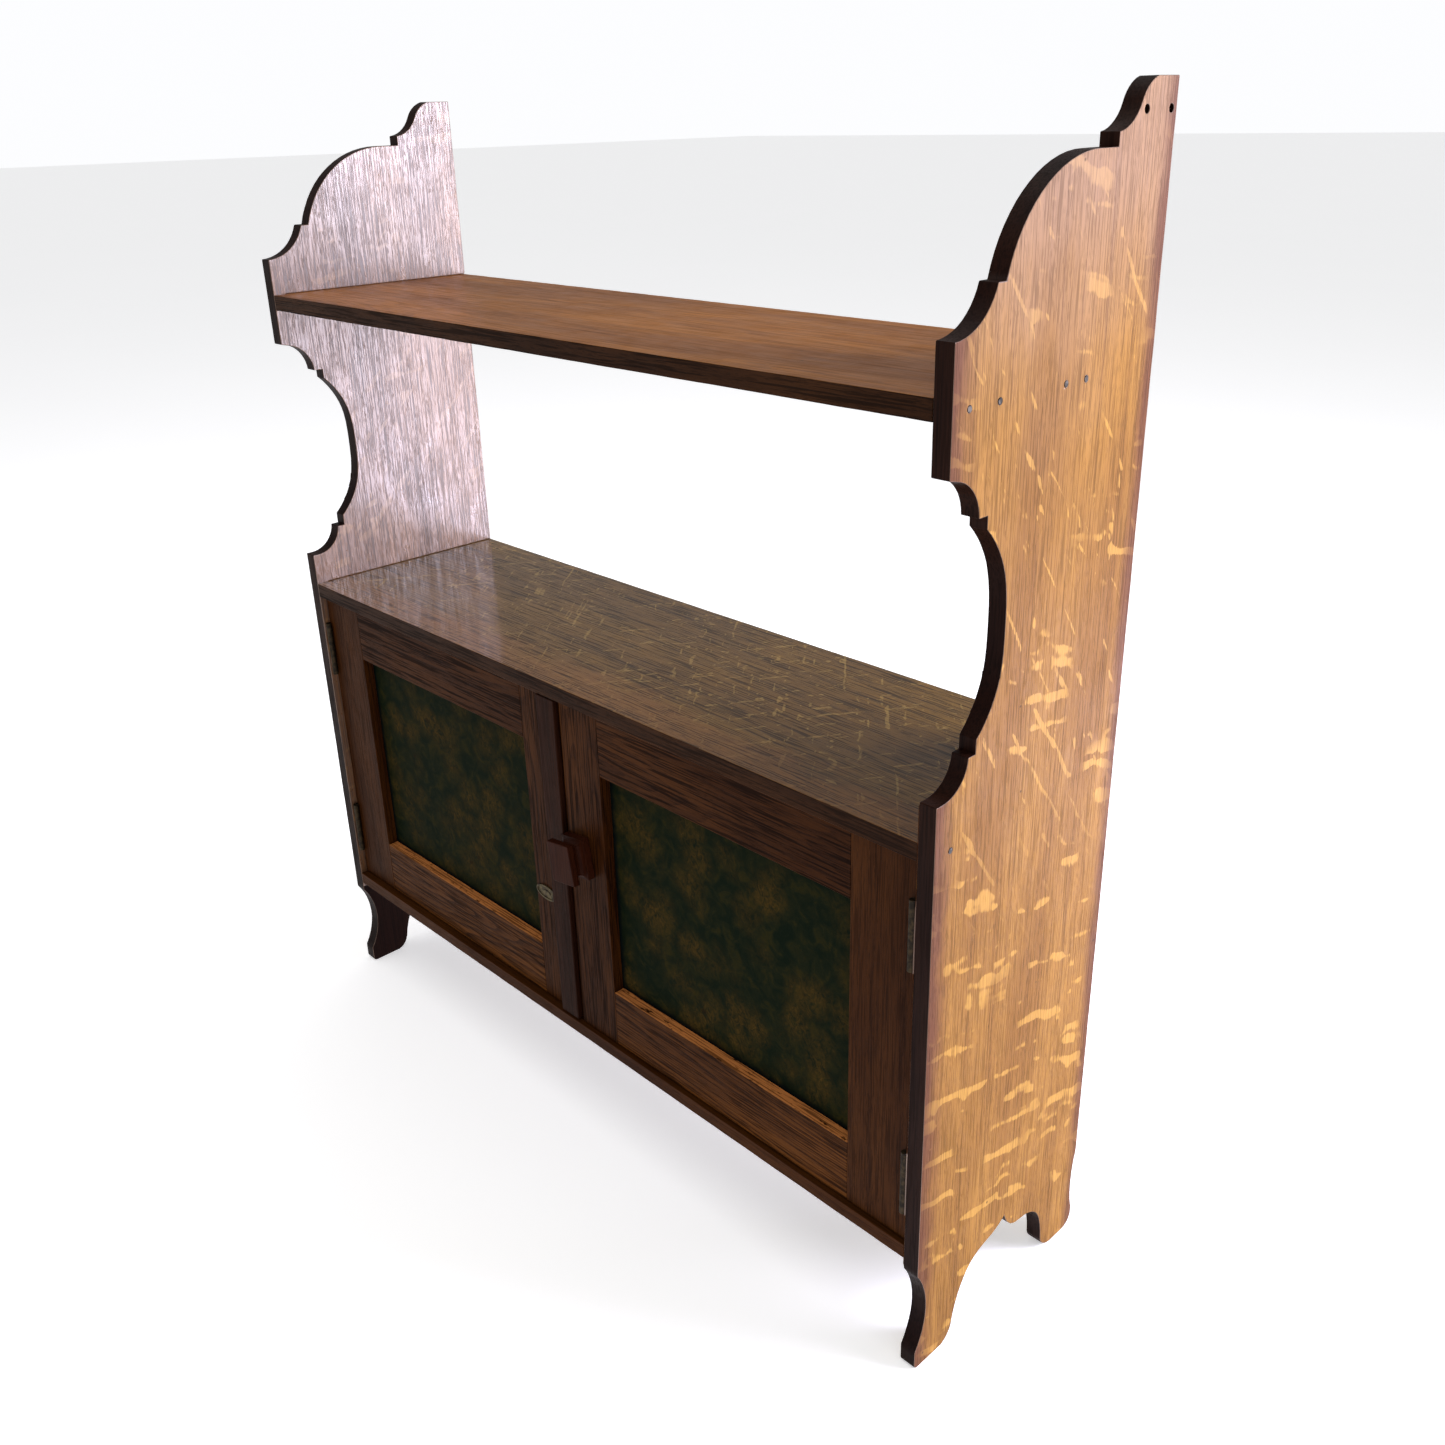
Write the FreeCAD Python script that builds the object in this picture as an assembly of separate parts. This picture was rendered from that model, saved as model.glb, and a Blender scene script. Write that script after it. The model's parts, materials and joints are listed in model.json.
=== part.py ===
import FreeCAD, Part
import math
import os

# Oak shelf cupboard: two shaped side boards carry an open shelf above a two-door cupboard.
# Millimetres. +X is to the right, the doors face -Y, +Z is up. The origin is on the floor, in the
# middle of the overall box, which takes in the knob that stands out in front of the doors.

# ---- overall sizes ----
WIDTH = 914.0
DEPTH = 242.0
HEIGHT = 1028.0

# ---- boards of the case ----
SIDE_THICK = 16.0
SHELF_THICK = 16.0
TOP_THICK = 16.0
BOTTOM_THICK = 15.0
SHELF_LEVEL = 842.0        # upper face of the open shelf
CUPBOARD_LEVEL = 519.0     # upper face of the cupboard top
BOTTOM_LEVEL = 118.0       # underside of the cupboard bottom
HOUSING = 5.0              # how far each board enters a side
HOUSING_STOP = 14.0        # the housings stop short of the front edge
BACK_THICK = 8.0
BACK_LAP = 8.0             # the back boards lap over the rear edges of top and bottom
BACK_BOARDS = 3
BACK_GAP = 1.0

# ---- outline of a side board: heights above the floor, and runs back from its front edge ----
CREST_RUN = 27.0           # flat top, measured from the rear edge
CROWN_DROP = 34.0          # the ogee from the crest down to the first notch
CROWN_RUN = 44.0
NOTCH_DROP = 9.5           # height of the upright steps between the curves
SHOULDER_FLAT = 21.0
SHOULDER_START = 51.0      # front of the big quarter round
NIB_TOP = 878.0
NIB_BOTTOM = 790.0
NIB_COVE_RISE = 32.0
NIB_COVE_RUN = 42.5
UNDER_NIB_FLAT = 9.0
UNDER_NIB_RUN = 34.0
UNDER_NIB_DROP = 32.0
STEP_RUN = 10.0            # the small ledges beside the notches
BITE_DEPTH = 28.0
BODY_TOP = 553.0
BODY_COVE = 29.0
BODY_LIP = 6.5
FOOT_TOP = 108.0
FOOT_HOLLOW = 13.0
TOE_TOP = 20.0
TOE_ROUND = 5.0
FRONT_SOLE = 38.0
HEEL_RUN = 13.0
HEEL_RISE = 13.0
REAR_SOLE = 34.0
REAR_HEEL_RUN = 18.0
REAR_HEEL_RISE = 14.0
REAR_TOE_ROUND = 14.0
REAR_HOLLOW = 4.5
REAR_HOLLOW_TOP = 88.0
ARCH_SPRING = 56.0         # height where the arch between the feet turns inward
ARCH_HEIGHT = 77.0
CUSP_HEIGHT = 89.0

# ---- doors ----
LEFT_RECESS = 8.0          # door face behind the front edges of the case
RIGHT_RECESS = 4.5
DOOR_THICK = 19.0
DOOR_GAP = 1.5             # above and below each door
HINGE_GAP = 1.0            # between door edge and side board
MEETING_GAP = 3.0
MEETING_LINE = 4.0         # middle of the gap between the doors, right of the centre
HINGE_STILE = 67.0
LEFT_MEETING_STILE = 66.0
RIGHT_MEETING_STILE = 56.0
TOP_RAIL = 61.0
BOTTOM_RAIL = 63.0
TENON_LENGTH = 30.0
TENON_THICK = 6.0
TENON_SHOULDER = 8.0
TENON_PLAY = 0.1
PANEL_RECESS = 12.0        # panel face behind the door face
PANEL_THICK = 3.0
PANEL_LAP = 7.0            # the panel behind the edges of the opening
PANEL_PLAY = 0.3
STOP_SIZE = 12.0
STOP_LENGTH = 30.0
STOP_OFFSET = 90.0
STOP_CLEARANCE = 0.3

# ---- cover strip, knob and catch ----
STRIP_WIDTH = 28.0
STRIP_THICK = 7.0
STRIP_SETBACK = 1.5        # from the edge of the left door
KNOB_WIDTH = 34.0
KNOB_HEIGHT = 43.0
KNOB_DEPTH = 26.5
KNOB_FRONT_PLATE = 7.0
KNOB_BACK_PLATE = 8.5
KNOB_COVE = 6.0
KNOB_X = 24.5
KNOB_Z = 343.0
KNOB_TILT = 9.0            # degrees that the knob stands out of upright
KNOB_CLEARANCE = 0.3
SPINDLE_RADIUS = 4.0
SPINDLE_IN_KNOB = 18.0
TONGUE_REACH = 58.0        # from the spindle to the middle of the rounded end
TONGUE_WIDTH = 14.0
TONGUE_THICK = 3.0
TONGUE_SLANT = 12.0        # degrees towards the left door when the door is free
TONGUE_CLEARANCE = 0.6
PLATE_WIDTH = 34.0
PLATE_HEIGHT = 16.0
PLATE_THICK = 1.4
PLATE_RIM = 1.8
PLATE_SINK = 0.7
PLATE_PIN_RADIUS = 0.6
PLATE_PIN_LENGTH = 8.0
PIN_STAND = 0.3
PLATE_PIN_INSET = 1.9       # pin centre from the inside of the rim
BOSS_SHARE = 0.42           # size of the oval boss against the field round it
BOSS_DROP = 0.2             # boss face below the rim
PLATE_X = -45.5
PLATE_Z = 268.0

# ---- hinges ----
HINGE_LENGTH = 63.5
HINGE_INSET = 32.0         # from the door's top and bottom edges
LEAF_THICK = 1.5
LEAF_DEPTH = 15.0
KNUCKLE_RADIUS = 3.0
KNUCKLE_CLEARANCE = 0.3
KNUCKLE_END_GAP = 0.2
PIN_RADIUS = 1.5
RUNNING_FIT = 0.05
SCREW_RADIUS = 1.5
SCREW_HEAD_RADIUS = 2.9
SCREW_HEAD_DEPTH = 1.4
SCREW_LENGTH = 11.0
SCREWS_PER_LEAF = 3
SCREW_LINE = 0.55           # screw line, as a share of the leaf's depth
WEB_START = 0.67            # where the web leaves a knuckle, in knuckle radii from its axis

# ---- bolt inside the left door ----
BOLT_RADIUS = 2.5
BOLT_LENGTH = 58.0
BOLT_THROW = 12.0
BOLT_X = -30.0
BOLT_PLATE_WIDTH = 14.0
BOLT_PLATE_LENGTH = 46.0
BOLT_PLATE_THICK = 1.2
BOLT_STRAP = 9.0
BOLT_STRAP_WALL = 1.6       # strap beside the bolt
BOLT_STRAP_CROWN = 1.2      # strap over the bolt
BOLT_PLATE_LIFT = 4.0       # plate above the bottom edge of the door
BOLT_TIP_CLEARANCE = 1.0   # tip above the bottom edge of the door when drawn
BOLT_SEAT_CLEARANCE = 0.4
BOLT_CLEARANCE = 0.8       # bolt above its plate
BOLT_SCREW_LENGTH = 7.0
BOLT_SCREW_RADIUS = 1.0
THUMB_RADIUS = 2.0
THUMB_LENGTH = 7.0

# ---- nails and the holes for hanging ----
NAIL_RADIUS = 1.2
NAIL_HEAD_RADIUS = 2.2
NAIL_HEAD_DEPTH = 1.2
NAIL_LENGTH = 34.0
SHELF_NAILS = (18.0, 51.0, 128.0, 153.0)
TOP_NAILS = (19.0,)
BACK_NAIL_LENGTH = 12.0
BACK_NAIL_MARGIN = 30.0
HOLE_RADIUS = 2.8
HOLE_DROP = 21.0
HOLE_BACK = 7.0            # centre of the rear hole from the rear edge
HOLE_SPACING = 32.0

# ---- places that follow from the sizes ----
KNOB_REACH = KNOB_DEPTH + KNOB_CLEARANCE - RIGHT_RECESS
FRONT = (KNOB_REACH - DEPTH) / 2
REAR = FRONT + DEPTH
INNER = WIDTH / 2 - SIDE_THICK
SHELF_UNDER = SHELF_LEVEL - SHELF_THICK
TOP_UNDER = CUPBOARD_LEVEL - TOP_THICK
BOTTOM_TOP = BOTTOM_LEVEL + BOTTOM_THICK
DOOR_LOW = BOTTOM_TOP + DOOR_GAP
DOOR_HIGH = TOP_UNDER - DOOR_GAP
DOOR_EDGE = INNER - HINGE_GAP
AXIS_X = INNER - KNUCKLE_RADIUS - KNUCKLE_CLEARANCE
OPENING_LOW = DOOR_LOW + BOTTOM_RAIL
OPENING_HIGH = DOOR_HIGH - TOP_RAIL
LEFT_DOOR_END = MEETING_LINE - MEETING_GAP / 2
RIGHT_DOOR_END = MEETING_LINE + MEETING_GAP / 2


def vec(x, y, z):
    return FreeCAD.Vector(x, y, z)


def box(x_range, y_range, z_range):
    """Block between pairs of coordinates, given in either order."""
    lows = [min(pair) for pair in (x_range, y_range, z_range)]
    highs = [max(pair) for pair in (x_range, y_range, z_range)]
    sizes = [high - low for low, high in zip(lows, highs)]
    return Part.makeBox(sizes[0], sizes[1], sizes[2], vec(*lows))


def rod(start, direction, length, radius):
    return Part.makeCylinder(radius, length, vec(*start), vec(*direction))


def door_face(side):
    """Front of the left (-1) or right (+1) door."""
    return FRONT + (RIGHT_RECESS if side > 0 else LEFT_RECESS)


def door_back(side):
    return door_face(side) + DOOR_THICK


def panel_face(side):
    return door_face(side) + PANEL_RECESS


def axis_y(side):
    """The hinge pins stand just in front of the door's face."""
    return door_face(side) - KNUCKLE_RADIUS - KNUCKLE_CLEARANCE


def save(name, *solids):
    shape = solids[0] if len(solids) == 1 else Part.makeCompound(list(solids))
    shape.exportStep(os.path.join("parts", name + ".step"))


# ---------------------------------------------------------------- side boards

def side_point(run, height):
    """A point on a side's outline: run is measured back from the front edge."""
    return vec(0, FRONT + run, height)


def line(a, b):
    return Part.makeLine(side_point(*a), side_point(*b))


def arc(a, mid, b):
    return Part.Arc(side_point(*a), side_point(*mid), side_point(*b)).toShape()


def curve(points):
    spline = Part.BSplineCurve()
    spline.interpolate([side_point(*point) for point in points])
    return spline.toShape()


def between(a, b, along, across):
    """A point at shares of the way from a to b in run and in height."""
    return (a[0] + (b[0] - a[0]) * along, a[1] + (b[1] - a[1]) * across)


def crown_edges(shoulder_end):
    """From the rear of the flat crest down the ogee, the notch and the big quarter round."""
    crest = (DEPTH - CREST_RUN, HEIGHT)
    ogee_end = (crest[0] - CROWN_RUN, HEIGHT - CROWN_DROP)
    turn = between(crest, ogee_end, 0.43, 0.47)
    notch = (ogee_end[0], ogee_end[1] - NOTCH_DROP)
    flat_end = (notch[0] - SHOULDER_FLAT, notch[1])
    return [
        line((DEPTH, HEIGHT), crest),
        arc(crest, between(crest, turn, 0.64, 0.40), turn),
        arc(turn, between(turn, ogee_end, 0.40, 0.68), ogee_end),
        line(ogee_end, notch),
        line(notch, flat_end),
        arc(flat_end, between(flat_end, shoulder_end, 0.69, 0.345), shoulder_end),
    ]


def nib_edges(shoulder_end):
    """The ledge and cove above the upright nib, the nib, and the quarter round under it."""
    cove_top = (NIB_COVE_RUN, shoulder_end[1])
    nib_tip = (0.0, NIB_TOP)
    nib_foot = (0.0, NIB_BOTTOM)
    flat_end = (UNDER_NIB_FLAT, NIB_BOTTOM - 2.0)
    cove_foot = (UNDER_NIB_RUN, NIB_BOTTOM - UNDER_NIB_DROP)
    return [
        line(shoulder_end, cove_top),
        arc(cove_top, between(cove_top, nib_tip, 0.30, 0.62), nib_tip),
        line(nib_tip, nib_foot),
        line(nib_foot, flat_end),
        arc(flat_end, between(flat_end, cove_foot, 0.66, 0.30), cove_foot),
    ]


def bite_edges():
    """The long hollow between nib and body, with a notch and a small ledge at each end."""
    ledge_run = UNDER_NIB_RUN + STEP_RUN
    high = NIB_BOTTOM - UNDER_NIB_DROP
    low = BODY_TOP + BODY_COVE - 1.5
    hollow_high = high - NOTCH_DROP
    hollow_low = low + NOTCH_DROP + 2.0
    middle = (hollow_high + hollow_low) / 2
    half = (hollow_high - hollow_low) / 2
    # the hollow is flat in its middle and tighter at its ends: depth falls as the cube
    hollow = []
    for share in (1.0, 0.85, 0.55, 0.0, -0.55, -0.85, -1.0):
        hollow.append((ledge_run + BITE_DEPTH * (1 - abs(share) ** 3), middle + half * share))
    cove_top = (BODY_LIP + BODY_COVE, low)
    cove_foot = (BODY_LIP, BODY_TOP)
    slope = BODY_COVE * math.sqrt(0.5)
    return [
        line((UNDER_NIB_RUN, high), (ledge_run, high)),
        line((ledge_run, high), (ledge_run, hollow_high)),
        curve(hollow),
        line((ledge_run, hollow_low), (ledge_run, low)),
        line((ledge_run, low), cove_top),
        arc(cove_top, (BODY_LIP + slope, BODY_TOP + BODY_COVE - slope), cove_foot),
        line(cove_foot, (0.0, BODY_TOP)),
    ]


def front_foot_edges(arch_start):
    """Down the hollow front of the foot, round the toe, along the sole and up the heel."""
    hollow_middle = (FOOT_TOP + TOE_TOP) / 2
    corner = TOE_ROUND * (1 - math.sqrt(0.5))
    heel = (FRONT_SOLE, 0.0)
    return [
        line((0.0, BODY_TOP), (0.0, FOOT_TOP)),
        arc((0.0, FOOT_TOP), (FOOT_HOLLOW, hollow_middle), (0.0, TOE_TOP)),
        line((0.0, TOE_TOP), (0.0, TOE_ROUND)),
        arc((0.0, TOE_ROUND), (corner, corner), (TOE_ROUND, 0.0)),
        line((TOE_ROUND, 0.0), heel),
        arc(heel, between(heel, arch_start, 0.62, 0.34), arch_start),
    ]


def arch_edges(start, end):
    """The arch between the feet: two hollow quarters that meet in a cusp."""
    span = end[0] - start[0]
    cusp = (start[0] + span * 0.535, CUSP_HEIGHT)
    front_half = [
        start,
        (start[0] + span * 0.04, ARCH_SPRING * 0.62),
        (start[0] + span * 0.11, ARCH_SPRING),
        (start[0] + span * 0.22, ARCH_HEIGHT * 0.93),
        (start[0] + span * 0.38, ARCH_HEIGHT * 1.02),
        cusp,
    ]
    rear_half = [
        cusp,
        (start[0] + span * 0.575, ARCH_HEIGHT),
        (start[0] + span * 0.65, ARCH_HEIGHT * 0.885),
        (start[0] + span * 0.78, ARCH_HEIGHT * 0.85),
        (start[0] + span * 0.91, ARCH_SPRING),
        (start[0] + span * 0.975, ARCH_SPRING * 0.68),
        end,
    ]
    return [curve(front_half), curve(rear_half)]


def rear_foot_edges(arch_end):
    """Round the rear heel, along the sole, round the toe and up the slightly hollow rear."""
    sole_start = (arch_end[0] + REAR_HEEL_RUN, 0.0)
    sole_end = (DEPTH - REAR_TOE_ROUND, 0.0)
    toe_top = (DEPTH, REAR_TOE_ROUND)
    toe_middle = between(sole_end, toe_top, math.sqrt(0.5), 1 - math.sqrt(0.5))
    hollow_low = (DEPTH, REAR_TOE_ROUND + 6.0)
    hollow_high = (DEPTH, REAR_HOLLOW_TOP)
    deepest = (DEPTH - REAR_HOLLOW, (hollow_low[1] + hollow_high[1]) / 2)
    return [
        arc(arch_end, between(arch_end, sole_start, 0.34, 0.68), sole_start),
        line(sole_start, sole_end),
        arc(sole_end, toe_middle, toe_top),
        line(toe_top, hollow_low),
        arc(hollow_low, deepest, hollow_high),
        line(hollow_high, (DEPTH, HEIGHT)),
    ]


def side_blank(side):
    """The shaped board, on the left (-1) or right (+1), before its joints are cut."""
    shoulder_end = (SHOULDER_START, NIB_TOP + NIB_COVE_RISE)
    arch_start = (FRONT_SOLE + HEEL_RUN, HEEL_RISE)
    arch_end = (DEPTH - REAR_SOLE - REAR_HEEL_RUN, REAR_HEEL_RISE)
    edges = crown_edges(shoulder_end) + nib_edges(shoulder_end) + bite_edges()
    edges += front_foot_edges(arch_start) + arch_edges(arch_start, arch_end)
    edges += rear_foot_edges(arch_end)
    outline = Part.Wire(Part.__sortEdges__(edges))
    board = Part.Face(outline).extrude(vec(SIDE_THICK, 0, 0))
    left_face = INNER if side > 0 else -WIDTH / 2
    board.translate(vec(left_face, 0, 0))
    return board


def board_levels():
    """Underside and upper face of each board that enters the sides."""
    return [(SHELF_UNDER, SHELF_LEVEL), (TOP_UNDER, CUPBOARD_LEVEL), (BOTTOM_LEVEL, BOTTOM_TOP)]


def hanging_holes():
    """Two holes through the right side near its top, one behind the other."""
    height = HEIGHT - HOLE_DROP
    rear = REAR - HOLE_BACK
    places = (rear - HOLE_SPACING, rear)
    return [rod((INNER, y, height), (1, 0, 0), SIDE_THICK, HOLE_RADIUS) for y in places]


def make_side(side):
    board = side_blank(side)
    cuts = []
    for low, high in board_levels():
        inner = (side * INNER, side * (INNER + HOUSING))
        cuts.append(box(inner, (FRONT + HOUSING_STOP, REAR), (low, high)))
    cuts += side_nails(side)
    for centre in hinge_centres():
        cuts.append(case_leaf_plate(side, centre))
        cuts += leaf_screws(side, centre, case=True)
    if side > 0:
        cuts += hanging_holes()
    return board.cut(cuts)


# ---------------------------------------------------------------- boards of the case

def make_cross_board(low, high):
    """A board between the sides, with its ends in the stopped housings."""
    middle = box((-INNER, INNER), (FRONT, REAR), (low, high))
    reach = INNER + HOUSING
    tongue = box((-reach, reach), (FRONT + HOUSING_STOP, REAR), (low, high))
    board = middle.fuse(tongue).removeSplitter()
    return board.cut(side_nails(-1) + side_nails(1))


def back_rebate():
    low = BOTTOM_TOP - BACK_LAP
    high = TOP_UNDER + BACK_LAP
    return box((-INNER, INNER), (REAR - BACK_THICK, REAR), (low, high))


def make_cupboard_top():
    board = make_cross_board(TOP_UNDER, CUPBOARD_LEVEL)
    return board.cut([back_rebate()] + back_nails())


def make_cupboard_bottom():
    board = make_cross_board(BOTTOM_LEVEL, BOTTOM_TOP)
    depth = BOLT_THROW - BOLT_TIP_CLEARANCE - DOOR_GAP + 1.0
    top = (BOLT_X, bolt_axis_y(), BOTTOM_TOP)
    seat = rod(top, (0, 0, -1), depth, BOLT_RADIUS + BOLT_SEAT_CLEARANCE)
    return board.cut([back_rebate(), seat] + back_nails())


def back_board_span(index):
    pitch = 2 * INNER / BACK_BOARDS
    left = -INNER + index * pitch
    return left + BACK_GAP / 2, left + pitch - BACK_GAP / 2


def make_back_board(index):
    low = BOTTOM_TOP - BACK_LAP
    high = TOP_UNDER + BACK_LAP
    board = box(back_board_span(index), (REAR - BACK_THICK, REAR), (low, high))
    return board.cut(back_nails())


def nail(start, direction, length):
    """A nail whose head lies just inside the surface at start."""
    head = rod(start, direction, NAIL_HEAD_DEPTH, NAIL_HEAD_RADIUS)
    shank = rod(start, direction, length, NAIL_RADIUS)
    return head.fuse(shank).removeSplitter()


def side_nails(side):
    """Nails through a side into the shelf and the cupboard top. The bottom is only housed."""
    places = [(run, SHELF_LEVEL - SHELF_THICK / 2) for run in SHELF_NAILS]
    places += [(run, CUPBOARD_LEVEL - TOP_THICK / 2) for run in TOP_NAILS]
    outer = side * WIDTH / 2
    return [nail((outer, FRONT + run, height), (-side, 0, 0), NAIL_LENGTH) for run, height in places]


def back_nails():
    nails = []
    heights = (BOTTOM_TOP - BACK_LAP / 2, TOP_UNDER + BACK_LAP / 2)
    for index in range(BACK_BOARDS):
        left, right = back_board_span(index)
        for x in (left + BACK_NAIL_MARGIN, right - BACK_NAIL_MARGIN):
            for height in heights:
                nails.append(nail((x, REAR, height), (0, -1, 0), BACK_NAIL_LENGTH))
    return nails


def make_door_stops():
    """Two blocks under the cupboard top that the closed doors rest against."""
    blocks = []
    for side in (-1, 1):
        start = door_back(side) + STOP_CLEARANCE
        x_range = (side * STOP_OFFSET, side * (STOP_OFFSET + STOP_LENGTH))
        blocks.append(box(x_range, (start, start + STOP_SIZE), (TOP_UNDER - STOP_SIZE, TOP_UNDER)))
    return blocks


# ---------------------------------------------------------------- doors

def door_end(side):
    """The edge where a door meets the other one."""
    return RIGHT_DOOR_END if side > 0 else LEFT_DOOR_END


def meeting_stile_width(side):
    return RIGHT_MEETING_STILE if side > 0 else LEFT_MEETING_STILE


def opening(side):
    """The two sides of the door's opening, hinge side first."""
    return side * (DOOR_EDGE - HINGE_STILE), door_end(side) + side * meeting_stile_width(side)


def panel_rebate(side):
    """The space behind the opening's edges that takes the panel and its beads."""
    hinge_x, meeting_x = opening(side)
    x_range = (hinge_x + side * PANEL_LAP, meeting_x - side * PANEL_LAP)
    z_range = (OPENING_LOW - PANEL_LAP, OPENING_HIGH + PANEL_LAP)
    return box(x_range, (panel_face(side), door_back(side)), z_range)


def tenon(side, edge_x, direction, low, high, play):
    """A tenon that runs from a shoulder at edge_x into the stile."""
    middle = (door_face(side) + panel_face(side)) / 2
    x_range = (edge_x - direction, edge_x + direction * (TENON_LENGTH + play))
    y_range = (middle - TENON_THICK / 2 - play, middle + TENON_THICK / 2 + play)
    z_range = (low + TENON_SHOULDER - play, high - TENON_SHOULDER + play)
    return box(x_range, y_range, z_range)


def rail_spans():
    return {"bottom": (DOOR_LOW, OPENING_LOW), "top": (OPENING_HIGH, DOOR_HIGH)}


def make_stile(side, hinged):
    hinge_x, meeting_x = opening(side)
    if hinged:
        outer, edge_x = side * DOOR_EDGE, hinge_x
        direction = side
    else:
        outer, edge_x = door_end(side), meeting_x
        direction = -side
    stile = box((outer, edge_x), (door_face(side), door_back(side)), (DOOR_LOW, DOOR_HIGH))
    cuts = [panel_rebate(side)]
    for low, high in rail_spans().values():
        cuts.append(tenon(side, edge_x, direction, low, high, TENON_PLAY))
    if hinged:
        for centre in hinge_centres():
            cuts.append(door_leaf_plate(side, centre))
            cuts += leaf_screws(side, centre, case=False)
    elif side > 0:
        cuts.append(spindle_rod(SPINDLE_RADIUS + RUNNING_FIT))
    else:
        cuts += bolt_screws()
        cuts += plate_pins()
    return stile.cut(cuts)


def make_rail(side, which):
    hinge_x, meeting_x = opening(side)
    low, high = rail_spans()[which]
    rail = box((hinge_x, meeting_x), (door_face(side), door_back(side)), (low, high))
    rail = rail.cut(panel_rebate(side))
    ends = [
        tenon(side, hinge_x, side, low, high, 0.0),
        tenon(side, meeting_x, -side, low, high, 0.0),
    ]
    return rail.fuse(ends).removeSplitter()


def make_panel(side):
    hinge_x, meeting_x = opening(side)
    reach = PANEL_LAP - PANEL_PLAY
    x_range = (hinge_x + side * reach, meeting_x - side * reach)
    z_range = (OPENING_LOW - reach, OPENING_HIGH + reach)
    return box(x_range, (panel_face(side), panel_face(side) + PANEL_THICK), z_range)


def make_beads(side):
    """Four thin beads that hold the panel from behind."""
    hinge_x, meeting_x = opening(side)
    reach = PANEL_LAP - PANEL_PLAY
    outer = (hinge_x + side * reach, meeting_x - side * reach)
    inner = (hinge_x, meeting_x)
    low, high = OPENING_LOW - reach, OPENING_HIGH + reach
    y_range = (panel_face(side) + PANEL_THICK, door_back(side))
    return [
        box(outer, y_range, (low, OPENING_LOW)),
        box(outer, y_range, (OPENING_HIGH, high)),
        box((outer[0], inner[0]), y_range, (OPENING_LOW, OPENING_HIGH)),
        box((outer[1], inner[1]), y_range, (OPENING_LOW, OPENING_HIGH)),
    ]


def make_cover_strip():
    """The flat strip on the meeting stile of the left door."""
    right = LEFT_DOOR_END - STRIP_SETBACK
    face = door_face(-1)
    return box((right - STRIP_WIDTH, right), (face - STRIP_THICK, face), (DOOR_LOW, DOOR_HIGH))


# ---------------------------------------------------------------- knob and catch

def turned(shape, degrees):
    """Turn about the spindle, anticlockwise as seen from the front."""
    shape.rotate(vec(KNOB_X, 0, KNOB_Z), vec(0, 1, 0), -degrees)
    return shape


def knob_back():
    return door_face(1) - KNOB_CLEARANCE


def make_knob():
    """A block with two square plates and a hollow neck between them."""
    back = knob_back()
    front = back - KNOB_DEPTH
    half_width = KNOB_WIDTH / 2
    half_height = KNOB_HEIGHT / 2
    x_range = (KNOB_X - half_width, KNOB_X + half_width)
    z_range = (KNOB_Z - half_height, KNOB_Z + half_height)
    block = box(x_range, (front, back), z_range)
    neck_start = front + KNOB_FRONT_PLATE
    neck_end = back - KNOB_BACK_PLATE
    half_neck = (neck_end - neck_start) / 2
    radius = (half_neck ** 2 + KNOB_COVE ** 2) / (2 * KNOB_COVE)
    offset = radius - KNOB_COVE
    middle = (neck_start + neck_end) / 2
    hollows = []
    for sign in (-1, 1):
        x = KNOB_X + sign * (half_width + offset)
        hollows.append(rod((x, middle, KNOB_Z - KNOB_HEIGHT), (0, 0, 1), 2 * KNOB_HEIGHT, radius))
        z = KNOB_Z + sign * (half_height + offset)
        hollows.append(rod((KNOB_X - KNOB_WIDTH, middle, z), (1, 0, 0), 2 * KNOB_WIDTH, radius))
    socket = spindle_rod(SPINDLE_RADIUS)
    return turned(block.cut(hollows).cut(socket), KNOB_TILT)


def tongue_face():
    """The tongue clears the backs of both doors, which do not stand in one plane."""
    return max(door_back(-1), door_back(1)) + TONGUE_CLEARANCE


def spindle_rod(radius):
    start = knob_back() - SPINDLE_IN_KNOB
    return rod((KNOB_X, start, KNOB_Z), (0, 1, 0), tongue_face() + TONGUE_THICK - start, radius)


def make_tongue():
    """The long tongue on the spindle's inner end. It clears the left door until the knob is turned."""
    half = TONGUE_WIDTH / 2
    face = tongue_face()
    end = KNOB_Z - TONGUE_REACH
    arm = box((KNOB_X - half, KNOB_X + half), (face, face + TONGUE_THICK), (end, KNOB_Z))
    upper = rod((KNOB_X, face, KNOB_Z), (0, 1, 0), TONGUE_THICK, half)
    lower = rod((KNOB_X, face, end), (0, 1, 0), TONGUE_THICK, half)
    tongue = arm.fuse([upper, lower]).removeSplitter().cut(spindle_rod(SPINDLE_RADIUS))
    return turned(tongue, -TONGUE_SLANT)


def oval_prism(width, height, start, end):
    side_end = vec(PLATE_X + width / 2, start, PLATE_Z)
    top_end = vec(PLATE_X, start, PLATE_Z + height / 2)
    outline = Part.Ellipse(side_end, top_end, vec(PLATE_X, start, PLATE_Z))
    return Part.Face(Part.Wire(outline.toShape())).extrude(vec(0, end - start, 0))


def plate_pins():
    pins = []
    for sign in (-1, 1):
        x = PLATE_X + sign * (PLATE_WIDTH / 2 - PLATE_RIM - PLATE_PIN_INSET)
        start = (x, door_face(-1) - PLATE_THICK + PLATE_SINK - PIN_STAND, PLATE_Z)
        pins.append(rod(start, (0, 1, 0), PLATE_PIN_LENGTH, PLATE_PIN_RADIUS))
    return pins


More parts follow.
